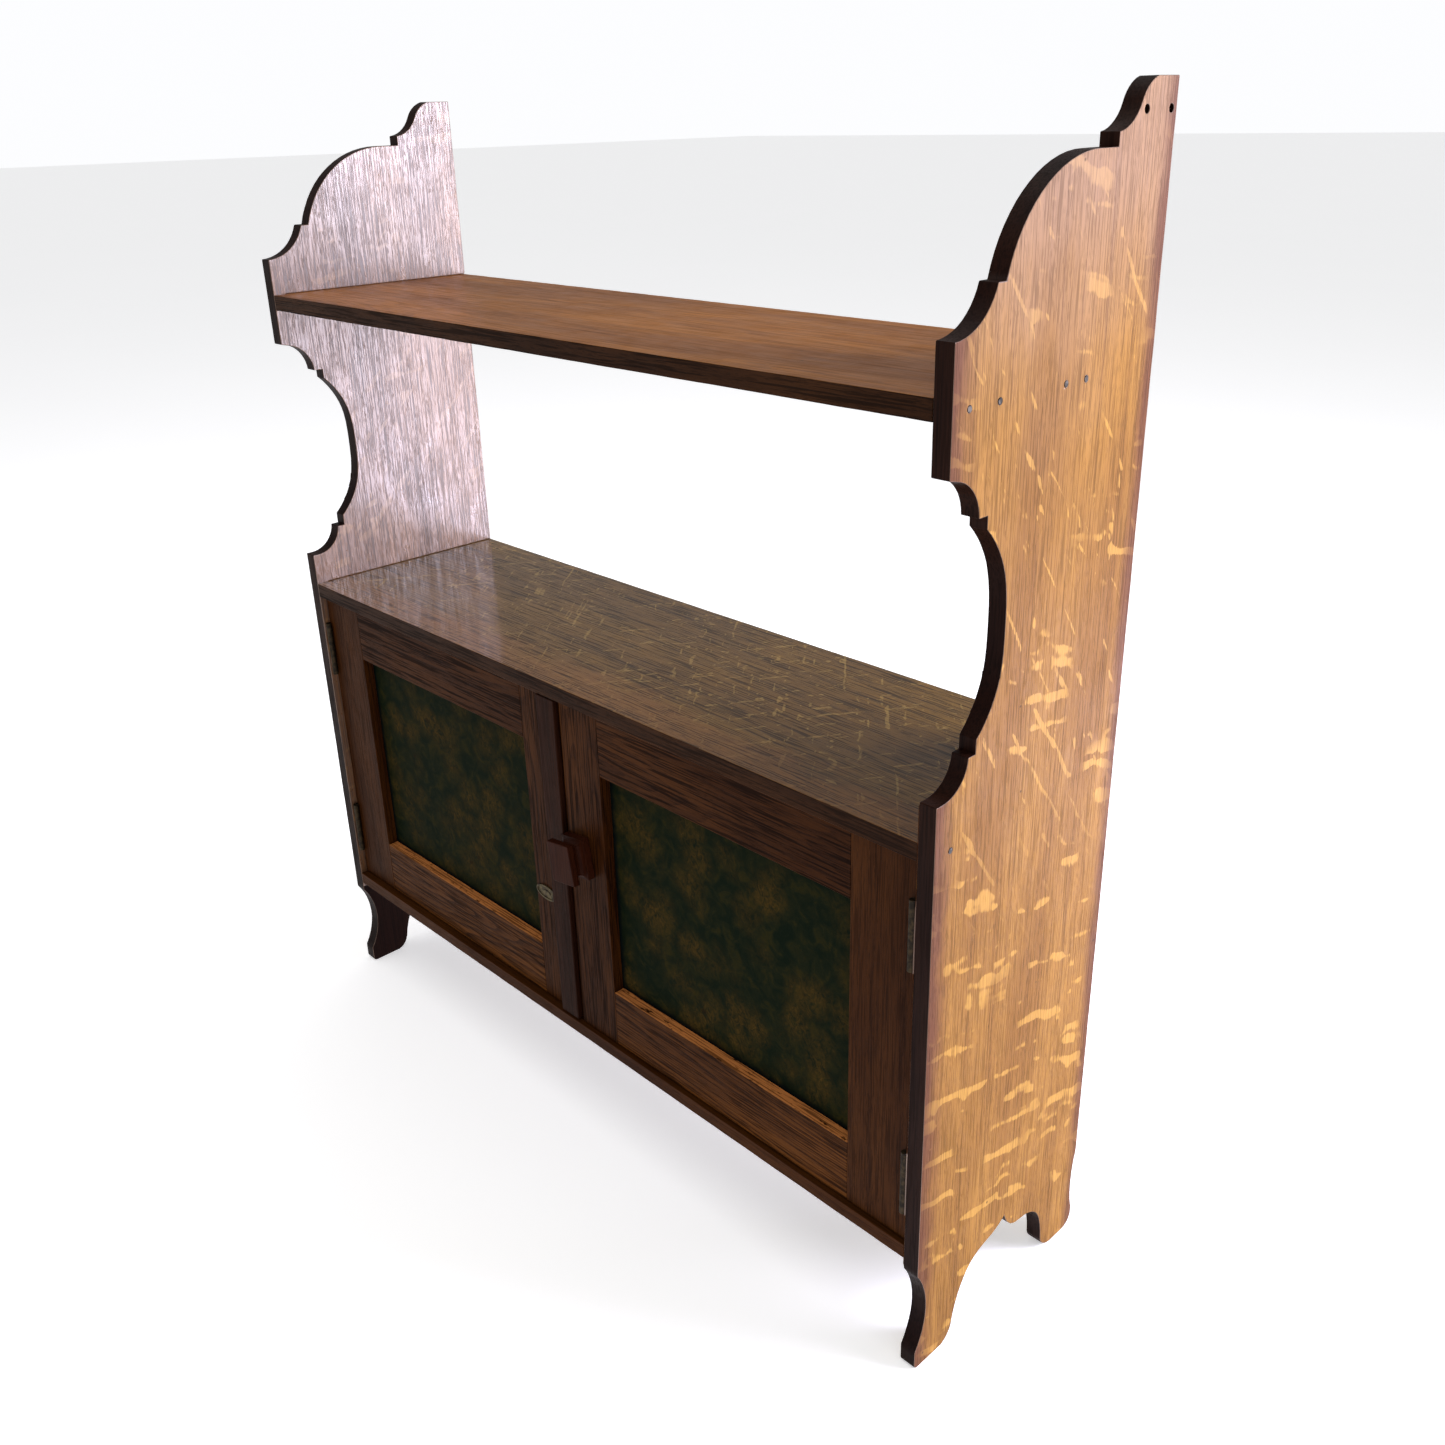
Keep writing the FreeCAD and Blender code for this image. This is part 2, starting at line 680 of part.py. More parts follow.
def make_oval_plate():
    """An oval plate with a raised rim, a plain field and a low oval boss."""
    front = door_face(-1) - PLATE_THICK
    plate = oval_prism(PLATE_WIDTH, PLATE_HEIGHT, front, door_face(-1))
    inner_width = PLATE_WIDTH - 2 * PLATE_RIM
    inner_height = PLATE_HEIGHT - 2 * PLATE_RIM
    field = oval_prism(inner_width, inner_height, front, front + PLATE_SINK)
    boss_width = inner_width * BOSS_SHARE
    boss_height = inner_height * BOSS_SHARE
    boss = oval_prism(boss_width, boss_height, front + BOSS_DROP, front + PLATE_SINK)
    return plate.cut(field).fuse(boss).removeSplitter().cut(plate_pins())


# ---------------------------------------------------------------- hinges

def hinge_centres():
    offset = HINGE_INSET + HINGE_LENGTH / 2
    return DOOR_LOW + offset, DOOR_HIGH - offset


def hinge_span(centre):
    return centre - HINGE_LENGTH / 2, centre + HINGE_LENGTH / 2


def case_leaf_plate(side, centre):
    """The leaf let into the side board, flush with its inner face."""
    x_range = (side * INNER, side * (INNER + LEAF_THICK))
    y_range = (axis_y(side) - LEAF_THICK / 2, door_face(side) + LEAF_DEPTH)
    return box(x_range, y_range, hinge_span(centre))


def door_leaf_plate(side, centre):
    """The leaf let into the door's edge, flush with it."""
    x_range = (side * DOOR_EDGE, side * (DOOR_EDGE - LEAF_THICK))
    return box(x_range, (door_face(side), door_face(side) + LEAF_DEPTH), hinge_span(centre))


def knuckle(side, low, high):
    foot = (side * AXIS_X, axis_y(side), low)
    outer = rod(foot, (0, 0, 1), high - low, KNUCKLE_RADIUS)
    bore = rod(foot, (0, 0, 1), high - low, PIN_RADIUS + RUNNING_FIT)
    return outer, bore


def knuckle_spans(centre):
    low, high = hinge_span(centre)
    third = (high - low) / 3
    half_gap = KNUCKLE_END_GAP / 2
    return [
        (low, low + third - half_gap),
        (low + third + half_gap, high - third - half_gap),
        (high - third + half_gap, high),
    ]


def leaf_screws(side, centre, case):
    """Countersunk screws of one leaf: into the side board, or into the door's edge."""
    face_x = side * (INNER if case else DOOR_EDGE)
    direction = side if case else -side
    y = door_face(side) + LEAF_DEPTH * SCREW_LINE
    screws = []
    pitch = HINGE_LENGTH / SCREWS_PER_LEAF
    for index in range(SCREWS_PER_LEAF):
        z = centre + (index - (SCREWS_PER_LEAF - 1) / 2) * pitch
        start = vec(face_x, y, z)
        along = vec(direction, 0, 0)
        head = Part.makeCone(SCREW_HEAD_RADIUS, SCREW_RADIUS, SCREW_HEAD_DEPTH, start, along)
        shank = Part.makeCylinder(SCREW_RADIUS, SCREW_LENGTH, start, along)
        screws.append(head.fuse(shank).removeSplitter())
    return screws


def make_case_leaf(side, centre):
    spans = knuckle_spans(centre)
    leaf = case_leaf_plate(side, centre)
    bores = []
    for span in (spans[0], spans[2]):
        outer, bore = knuckle(side, *span)
        x_range = (side * (AXIS_X + KNUCKLE_RADIUS * WEB_START), side * (INNER + LEAF_THICK / 2))
        web = box(x_range, (axis_y(side) - LEAF_THICK / 2, axis_y(side) + LEAF_THICK / 2), span)
        leaf = leaf.fuse([outer, web])
        bores.append(bore)
    return leaf.removeSplitter().cut(bores + leaf_screws(side, centre, case=True))


def make_door_leaf(side, centre):
    middle = knuckle_spans(centre)[1]
    outer, bore = knuckle(side, *middle)
    x_range = (side * (DOOR_EDGE - LEAF_THICK), side * DOOR_EDGE)
    web = box(x_range, (axis_y(side) + KNUCKLE_RADIUS / 3, door_face(side) + LEAF_THICK), middle)
    leaf = door_leaf_plate(side, centre).fuse([outer, web]).removeSplitter()
    return leaf.cut([bore] + leaf_screws(side, centre, case=False))


def make_hinge_pin(side, centre):
    low, high = hinge_span(centre)
    return rod((side * AXIS_X, axis_y(side), low), (0, 0, 1), high - low, PIN_RADIUS)


# ---------------------------------------------------------------- bolt of the left door

def bolt_axis_y():
    return door_back(-1) + BOLT_PLATE_THICK + BOLT_RADIUS + BOLT_CLEARANCE


def bolt_low():
    return DOOR_LOW + BOLT_TIP_CLEARANCE


def bolt_plate_low():
    return DOOR_LOW + BOLT_PLATE_LIFT


def make_bolt_case():
    """A plate with two straps that guide the bolt."""
    half = BOLT_PLATE_WIDTH / 2
    low = bolt_plate_low()
    high = low + BOLT_PLATE_LENGTH
    x_range = (BOLT_X - half, BOLT_X + half)
    back = door_back(-1)
    case = box(x_range, (back, back + BOLT_PLATE_THICK), (low, high))
    strap_half = BOLT_RADIUS + BOLT_STRAP_WALL
    strap_x = (BOLT_X - strap_half, BOLT_X + strap_half)
    strap_y = (back, bolt_axis_y() + BOLT_RADIUS + BOLT_STRAP_CROWN)
    for start in (low, high - BOLT_STRAP):
        case = case.fuse(box(strap_x, strap_y, (start, start + BOLT_STRAP)))
    bore = rod((BOLT_X, bolt_axis_y(), low), (0, 0, 1), BOLT_PLATE_LENGTH, BOLT_RADIUS + RUNNING_FIT)
    return case.removeSplitter().cut([bore] + bolt_screws())


def make_bolt():
    """The round bolt with its thumb piece, drawn up so that the door is free."""
    shaft = rod((BOLT_X, bolt_axis_y(), bolt_low()), (0, 0, 1), BOLT_LENGTH, BOLT_RADIUS)
    thumb_z = bolt_plate_low() + BOLT_PLATE_LENGTH - BOLT_STRAP - THUMB_RADIUS - 1.0
    thumb = rod((BOLT_X, bolt_axis_y(), thumb_z), (0, 1, 0), BOLT_RADIUS + THUMB_LENGTH, THUMB_RADIUS)
    return shaft.fuse(thumb).removeSplitter()


def bolt_screws():
    screws = []
    middle = bolt_plate_low() + BOLT_PLATE_LENGTH / 2
    for x in (BOLT_X - BOLT_PLATE_WIDTH / 2 + 2.0, BOLT_X + BOLT_PLATE_WIDTH / 2 - 2.0):
        for z in (middle - BOLT_PLATE_LENGTH / 2 + 3.0, middle + BOLT_PLATE_LENGTH / 2 - 3.0):
            start = (x, door_back(-1) + BOLT_PLATE_THICK, z)
            screws.append(rod(start, (0, -1, 0), BOLT_SCREW_LENGTH, BOLT_SCREW_RADIUS))
    return screws


# ---------------------------------------------------------------- the whole object

def save_case():
    save("left_side", make_side(-1))
    save("right_side", make_side(1))
    save("upper_shelf", make_cross_board(SHELF_UNDER, SHELF_LEVEL))
    save("cupboard_top", make_cupboard_top())
    save("cupboard_bottom", make_cupboard_bottom())
    for index in range(BACK_BOARDS):
        save("back_board_" + str(index + 1), make_back_board(index))
    save("side_nails_left", *side_nails(-1))
    save("side_nails_right", *side_nails(1))
    save("back_nails", *back_nails())
    save("door_stops", *make_door_stops())


def save_door(name, side):
    save(name + "_hinge_stile", make_stile(side, hinged=True))
    save(name + "_meeting_stile", make_stile(side, hinged=False))
    save(name + "_top_rail", make_rail(side, "top"))
    save(name + "_bottom_rail", make_rail(side, "bottom"))
    save(name + "_panel", make_panel(side))
    save(name + "_panel_beads", *make_beads(side))


def save_hinges(name, side):
    case_screws = []
    door_screws = []
    for level, centre in zip(("lower", "upper"), hinge_centres()):
        save(name + "_" + level + "_case_leaf", make_case_leaf(side, centre))
        save(name + "_" + level + "_door_leaf", make_door_leaf(side, centre))
        save(name + "_" + level + "_hinge_pin", make_hinge_pin(side, centre))
        case_screws += leaf_screws(side, centre, case=True)
        door_screws += leaf_screws(side, centre, case=False)
    save(name + "_case_leaf_screws", *case_screws)
    save(name + "_door_leaf_screws", *door_screws)


os.makedirs("parts", exist_ok=True)
save_case()
save_door("left_door", -1)
save_door("right_door", 1)
save_hinges("left", -1)
save_hinges("right", 1)
save("cover_strip", make_cover_strip())
save("oval_plate", make_oval_plate())
save("oval_plate_pins", *plate_pins())
save("knob", make_knob())
save("knob_spindle", spindle_rod(SPINDLE_RADIUS))
save("catch_tongue", make_tongue())
save("bolt_case", make_bolt_case())
save("bolt_case_screws", *bolt_screws())
save("door_bolt", make_bolt())
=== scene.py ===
import json
import math

import bmesh
import bpy
from mathutils import Matrix, Vector, noise


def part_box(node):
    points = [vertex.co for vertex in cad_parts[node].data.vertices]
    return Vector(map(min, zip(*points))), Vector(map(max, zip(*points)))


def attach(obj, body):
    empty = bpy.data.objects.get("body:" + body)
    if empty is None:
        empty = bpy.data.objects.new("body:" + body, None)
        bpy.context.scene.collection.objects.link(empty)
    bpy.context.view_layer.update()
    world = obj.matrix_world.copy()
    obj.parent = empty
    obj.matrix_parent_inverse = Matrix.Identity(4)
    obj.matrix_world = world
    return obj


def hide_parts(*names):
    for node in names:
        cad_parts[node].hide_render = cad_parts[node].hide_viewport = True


# Oak shelf cupboard. Metres, +Z up, the doors face -Y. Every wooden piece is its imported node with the
# arrises worn round; the surfaces are solid procedural oak, painted board, brass and iron.

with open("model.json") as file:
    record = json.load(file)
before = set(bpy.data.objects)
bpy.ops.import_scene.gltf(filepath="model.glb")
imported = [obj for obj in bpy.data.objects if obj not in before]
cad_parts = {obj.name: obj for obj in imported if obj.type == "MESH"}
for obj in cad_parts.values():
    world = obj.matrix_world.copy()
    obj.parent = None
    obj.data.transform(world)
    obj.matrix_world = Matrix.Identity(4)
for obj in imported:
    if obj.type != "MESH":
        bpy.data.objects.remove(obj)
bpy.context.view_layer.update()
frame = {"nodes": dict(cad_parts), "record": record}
MM = 0.001

SIDE_LOW, SIDE_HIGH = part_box("right_side")
FRONT = SIDE_LOW.y
REAR = SIDE_HIGH.y


# ---------------------------------------------------------------- node helper

class Shader:
    """Builds one material's nodes. Positions are in millimetres, from the Object coordinates."""

    def __init__(self, name):
        self.material = bpy.data.materials.new(name)
        self.material.use_nodes = True
        self.tree = self.material.node_tree
        self.tree.nodes.clear()
        self.output = self.tree.nodes.new("ShaderNodeOutputMaterial")
        self.surface = self.tree.nodes.new("ShaderNodeBsdfPrincipled")
        self.tree.links.new(self.surface.outputs[0], self.output.inputs[0])
        coordinates = self.tree.nodes.new("ShaderNodeTexCoord")
        self.normal = coordinates.outputs["Normal"]
        scale = self.tree.nodes.new("ShaderNodeVectorMath")
        scale.operation = "SCALE"
        scale.inputs["Scale"].default_value = 1000.0
        self.tree.links.new(coordinates.outputs["Object"], scale.inputs[0])
        self.place = scale.outputs[0]
        self.xyz = self.split(self.place)

    def put(self, socket, value):
        if isinstance(value, bpy.types.NodeSocket):
            self.tree.links.new(value, socket)
        elif hasattr(value, "__len__") and len(value) == 3 and socket.type == "RGBA":
            socket.default_value = (*value, 1.0)
        else:
            socket.default_value = value

    def split(self, vector):
        node = self.tree.nodes.new("ShaderNodeSeparateXYZ")
        self.put(node.inputs[0], vector)
        return list(node.outputs)

    def math(self, operation, a, b=0.0, c=0.0):
        node = self.tree.nodes.new("ShaderNodeMath")
        node.operation = operation
        for socket, value in zip(node.inputs, (a, b, c)):
            self.put(socket, value)
        return node.outputs[0]

    def add(self, a, b):
        return self.math("ADD", a, b)

    def sub(self, a, b):
        return self.math("SUBTRACT", a, b)

    def mul(self, a, b):
        return self.math("MULTIPLY", a, b)

    def smooth(self, value, low, high):
        """0 below low, 1 above high, and the other way round where low is above high."""
        node = self.tree.nodes.new("ShaderNodeMapRange")
        node.interpolation_type = "SMOOTHSTEP"
        backwards = low > high
        self.put(node.inputs["Value"], value)
        node.inputs["From Min"].default_value = min(low, high)
        node.inputs["From Max"].default_value = max(low, high)
        node.inputs["To Min"].default_value = 1.0 if backwards else 0.0
        node.inputs["To Max"].default_value = 0.0 if backwards else 1.0
        return node.outputs[0]

    def scaled(self, sizes, shift, vector=None):
        """The position divided by a size along each axis, and moved to a place of its own."""
        node = self.tree.nodes.new("ShaderNodeMapping")
        self.put(node.inputs["Vector"], self.place if vector is None else vector)
        node.inputs["Scale"].default_value = [1.0 / size for size in sizes]
        node.inputs["Location"].default_value = shift
        return node.outputs[0]

    def noise(self, vector, detail=2.0, rough=0.5, distortion=0.0, colour=False):
        node = self.tree.nodes.new("ShaderNodeTexNoise")
        node.inputs["Scale"].default_value = 1.0
        node.inputs["Detail"].default_value = detail
        node.inputs["Roughness"].default_value = rough
        node.inputs["Distortion"].default_value = distortion
        self.put(node.inputs["Vector"], vector)
        return node.outputs["Color" if colour else "Fac"]

    def cells(self, vector):
        """The distance to the nearest of a field of scattered points."""
        node = self.tree.nodes.new("ShaderNodeTexVoronoi")
        node.inputs["Scale"].default_value = 1.0
        self.put(node.inputs["Vector"], vector)
        return node.outputs["Distance"]

    def vector(self, operation, a, b):
        node = self.tree.nodes.new("ShaderNodeVectorMath")
        node.operation = operation
        self.put(node.inputs[0], a)
        self.put(node.inputs[1], b)
        return node.outputs[0]

    def warp(self, vector, strength, sizes, shift):
        """A vector moved about by slow noise, by up to about half of strength each way."""
        drift = self.noise(self.scaled(sizes, shift), detail=1.0, colour=True)
        drift = self.vector("SUBTRACT", drift, (0.5, 0.5, 0.5))
        drift = self.vector("MULTIPLY", drift, strength)
        return self.vector("ADD", vector, drift)

    def mix(self, share, a, b):
        node = self.tree.nodes.new("ShaderNodeMix")
        node.data_type = "RGBA"
        self.put(node.inputs["Factor"], share)
        self.put(node.inputs["A"], a)
        self.put(node.inputs["B"], b)
        return node.outputs["Result"]

    def bump(self, height, depth_mm, strength=1.0, below=None):
        node = self.tree.nodes.new("ShaderNodeBump")
        node.inputs["Strength"].default_value = strength
        node.inputs["Distance"].default_value = depth_mm * MM
        self.put(node.inputs["Height"], height)
        if below is not None:
            self.put(node.inputs["Normal"], below)
        return node.outputs[0]

    def finish(self, **values):
        names = {"colour": "Base Color", "rough": "Roughness", "bump": "Normal", "metal": "Metallic",
                 "coat": "Coat Weight", "coat_rough": "Coat Roughness", "shine": "Specular IOR Level"}
        for key, value in values.items():
            self.put(self.surface.inputs[names[key]], value)
        return self.material


def shift_of(seed):
    """A place in the noise that belongs to one board."""
    return (17.3 * seed + 3.1, 9.7 * seed - 41.0, 23.9 * seed + 7.7)


# ---------------------------------------------------------------- oak

def along(axis, length, across):
    """Feature sizes for a pattern drawn out along the grain."""
    return [length if name == axis else across for name in "XYZ"]


def three(grain, face, length, wide, thick):
    """Feature sizes along the grain, across the wide face and through the board."""
    sizes = {grain: length, face: thick}
    return [sizes.get(name, wide) for name in "XYZ"]


def oak(name, grain, face, seed, tones, pores=1.0, lines=0.4, flecks=None, fleck_tone=None,
        cathedral=0.0, rough=0.42, shine=0.03, coat=0.0, masks=None):
    """Solid oak. grain is the axis along the grain and face the one through the board.
    tones are its dark, middle and light brown."""
    s = Shader(name)
    dark, middle, light = tones
    shift = shift_of(seed)
    flat = s.smooth(s.math("ABSOLUTE", s.split(s.normal)["XYZ".index(face)]), 0.6, 0.8)

    broad = s.noise(s.scaled(along(grain, 300, 60), shift), detail=3.0)
    bands = s.noise(s.scaled(along(grain, 700, 11), shift), detail=3.0, rough=0.6)
    streaks = s.noise(s.scaled(along(grain, 90, 1.1), shift), detail=2.0, rough=0.6)
    colour = s.mix(s.smooth(broad, 0.35, 0.65), middle, light)
    colour = s.mix(s.mul(s.smooth(bands, 0.50, 0.72), 0.35), colour, dark)
    colour = s.mix(s.mul(s.smooth(streaks, 0.48, 0.70), 0.40), colour, dark)

    if cathedral:
        field = s.noise(s.scaled(three(grain, face, 620, 46, 60), shift), detail=1.0, rough=0.4)
        rings = s.math("FRACT", s.mul(field, 26.0))
        ring = s.mul(s.smooth(rings, 0.30, 0.92), s.smooth(rings, 1.0, 0.93))
        colour = s.mix(s.mul(ring, cathedral), colour, dark)
        dense = s.add(s.mul(ring, 0.6), 0.4)
    else:
        dense = s.add(s.mul(s.smooth(bands, 0.34, 0.60), 0.55), 0.45)

    # open pores: short dark dashes along the grain
    dashes = s.cells(s.warp(s.scaled(along(grain, 11.0, 0.95), shift), (0.8, 0.8, 0.8), (30, 30, 30), shift))
    pore = s.smooth(dashes, 0.36, 0.14)
    long_dashes = s.noise(s.scaled(along(grain, 26.0, 0.7), shift), detail=1.0, rough=0.5)
    pore = s.math("MAXIMUM", pore, s.smooth(long_dashes, 0.58, 0.68))
    pore = s.mul(s.mul(pore, dense), pores)

    # bundles of pores read as longer dark lines
    line = s.noise(s.scaled(along(grain, 60, 1.6), shift), detail=2.0, rough=0.5)
    line = s.mul(s.smooth(line, 0.50, 0.60), lines)
    pore = s.math("MAXIMUM", pore, line)

    if flecks:
        fleck = s.mul(flecks(s, shift), flat)
        pore = s.mul(pore, s.sub(1.0, s.mul(fleck, 0.6)))
        colour = s.mix(s.mul(fleck, 0.8), colour, fleck_tone)

    if masks:
        colour = masks(s, colour, shift)
    colour = s.mix(s.mul(pore, 0.75), colour, [c * 0.25 for c in dark])

    # a few dark bruises
    spots = s.cells(s.scaled((52, 52, 52), shift))
    spot = s.mul(s.smooth(spots, 0.036, 0.012), 0.7)
    colour = s.mix(spot, colour, BRUISE)

    mottle = s.noise(s.scaled((24, 24, 24), shift), detail=3.0)
    gloss = s.add(rough - 0.08, s.mul(mottle, 0.16))
    gloss = s.add(gloss, s.mul(pore, 0.22))
    relief = s.sub(s.mul(streaks, 0.35), pore)
    relief = s.sub(relief, spot)
    waves_low = s.noise(s.scaled((55, 55, 55), shift), detail=2.0)
    normal = s.bump(waves_low, 0.5, 0.35)
    normal = s.bump(relief, 0.12, 0.7, below=normal)
    return s.finish(colour=colour, rough=gloss, bump=normal, coat=coat, coat_rough=0.12, shine=shine)


def leaning(s, face, angle):
    """The position turned about the axis through the board."""
    node = s.tree.nodes.new("ShaderNodeMapping")
    s.put(node.inputs["Vector"], s.place)
    turn = [0.0, 0.0, 0.0]
    turn["XYZ".index(face)] = angle
    node.inputs["Rotation"].default_value = turn
    return node.outputs[0]


def rays(s, shift, grain, face, angle, long, thick, level, curl):
    """Streaks of one kind: their lean from square across the grain, length, thickness and curl."""
    thread = s.noise(s.scaled(along(grain, 40, 1.5), shift), detail=2.0, rough=0.6)
    field = s.scaled(three(grain, face, thick, long, 300), shift, leaning(s, face, angle))
    field = s.warp(field, (curl, curl * long / thick * 0.5, curl), (34, 34, 90), shift)
    island = s.noise(field, detail=1.0, rough=0.4)
    island = s.add(island, s.mul(s.sub(thread, 0.5), 0.16))
    streak = s.smooth(island, level, level + 0.045)
    return s.mul(streak, s.add(s.mul(s.smooth(thread, 0.34, 0.56), 0.5), 0.5))


def side_flecks(angle, amount):
    """Broad flames low on a side board, and thin slanting stripes further up."""
    def flecks(s, shift):
        upper = s.smooth(s.xyz[2], 360, 600)
        where = s.noise(s.scaled((130, 75, 120), shift), detail=1.0)
        flames = rays(s, shift, "Z", "X", 0.25 * angle, 78, 14, 0.597, 0.9)
        flames = s.mul(flames, s.smooth(s.sub(where, s.mul(upper, 0.10)), 0.41, 0.47))
        stripes = rays(s, shift, "Z", "X", angle, 85, 7.5, 0.672, 0.8)
        stripes = s.mul(stripes, s.add(s.mul(upper, 0.90), 0.05))
        return s.mul(s.math("MAXIMUM", flames, stripes), amount)
    return flecks


def top_flecks(s, shift):
    """Thin curling rays on the cupboard top."""
    first = rays(s, shift, "X", "Z", 0.6, 62, 4.8, 0.655, 1.1)
    second = rays(s, shift, "X", "Z", -0.7, 46, 4.6, 0.670, 1.2)
    return s.mul(s.math("MAXIMUM", first, second), 0.9)


# linear colours: each wood has a dark, a middle and a light brown
HONEY = ((0.085, 0.029, 0.006), (0.200, 0.088, 0.017), (0.275, 0.130, 0.026))
SHADED = ((0.060, 0.023, 0.012), (0.155, 0.068, 0.027), (0.215, 0.098, 0.038))
SHELF = ((0.060, 0.015, 0.002), (0.195, 0.064, 0.006), (0.285, 0.100, 0.010))
UMBER = ((0.020, 0.007, 0.001), (0.128, 0.060, 0.006), (0.185, 0.092, 0.010))
DOOR = ((0.009, 0.002, 0.001), (0.038, 0.011, 0.002), (0.063, 0.020, 0.004))
RAIL = ((0.012, 0.003, 0.001), (0.072, 0.023, 0.004), (0.118, 0.039, 0.007))
# painted shade: near-black tones for the edge faces of the side boards, standing in for the shade on those
# narrow faces
PAINTED_SHADE_EDGE = ((0.003, 0.001, 0.001), (0.010, 0.003, 0.002), (0.020, 0.007, 0.004))
# pale tones for the rounded arrises: rubbed wood, brightened as a painted highlight along them
RIM_AND_HIGHLIGHT = ((0.040, 0.018, 0.010), (0.150, 0.085, 0.055), (0.300, 0.210, 0.160))
# painted shade: dark tones for the edge faces of the shelf and cupboard top, standing in for their shade
PAINTED_SHADE_BOARD_EDGE = ((0.006, 0.002, 0.001), (0.026, 0.009, 0.003), (0.052, 0.019, 0.006))
WOOD_FLECK = {"honey": (0.42, 0.225, 0.048), "shaded": (0.32, 0.17, 0.060), "umber": (0.310, 0.195, 0.045)}
STRIP = ((0.006, 0.002, 0.001), (0.018, 0.005, 0.002), (0.030, 0.009, 0.004))
KNOB = ((0.006, 0.001, 0.001), (0.020, 0.004, 0.002), (0.034, 0.008, 0.003))
BRUISE = (0.015, 0.008, 0.006)
HANDLED = (0.085, 0.026, 0.017)
# painted reflection: the pale pinkish glare near the top of the right side
PAINTED_GLARE = (0.270, 0.180, 0.140)
WARM_FRONT = (0.190, 0.076, 0.013)
BARE_WOOD = (0.62, 0.225, 0.062)
INNER = ((0.110, 0.055, 0.026), (0.240, 0.140, 0.070), (0.300, 0.180, 0.095))


def stains_and_glare(tint, glare_tone, amount, width):
    """Darker handling stains along the front and rear edges of a side, and a painted pinkish reflection near
    its top.
    """
    def masks(s, colour, shift):
        ragged = s.mul(s.sub(s.noise(s.scaled((26, 26, 60), shift), detail=3.0), 0.5), 34.0)
        from_front = s.add(s.sub(s.xyz[1], FRONT / MM), ragged)
        stain = s.smooth(from_front, width * 1.4, 0.0)
        from_rear = s.add(s.sub(REAR / MM, s.xyz[1]), s.mul(ragged, 0.5))
        stain = s.math("MAXIMUM", stain, s.smooth(from_rear, width, 2.0))
        # painted reflection: pale pinkish glare painted in patches over the upper part of the side
        patchy = s.mul(s.noise(s.scaled((90, 90, 160), shift), detail=3.0), 260.0)
        painted_glare = s.mul(s.smooth(s.add(s.xyz[2], patchy), 880.0, 1130.0), 0.55)
        colour = s.mix(painted_glare, colour, glare_tone)
        return s.mix(s.mul(stain, amount), colour, tint)
    return masks


def worn_ledge(level_mm):
    """Bare, pale wood on the ledge under a panel, with a ragged border."""
    def masks(s, colour, shift):
        up = s.split(s.normal)[2]
        ragged = s.noise(s.scaled((14, 5, 5), shift), detail=4.0, rough=0.65)
        near = s.smooth(s.sub(level_mm, s.xyz[2]), 3.2, 0.4)
        bare = s.mul(s.smooth(up, 0.25, 0.75), near)
        bare = s.mul(bare, s.smooth(ragged, 0.33, 0.42))
        return s.mix(s.mul(bare, 0.9), colour, BARE_WOOD)
    return masks


def warm_front_mask(tint):
    """A warmer, lighter strip along the front of the cupboard top."""
    def masks(s, colour, shift):
        from_front = s.sub(s.xyz[1], FRONT / MM)
        ragged = s.mul(s.noise(s.scaled((90, 40, 40), shift), detail=3.0), 90.0)
        front_strip = s.smooth(s.sub(from_front, ragged), 14.0, -18.0)
        return s.mix(s.mul(front_strip, 0.65), colour, tint)
    return masks


# ---------------------------------------------------------------- other materials

PAINT = {"deep": (0.004, 0.008, 0.004), "green": (0.011, 0.013, 0.005), "olive": (0.022, 0.018, 0.004),
         "ochre": (0.048, 0.028, 0.006), "bright": (0.078, 0.042, 0.009), "eye": (0.014, 0.008, 0.003),
         "border": (0.002, 0.004, 0.005)}


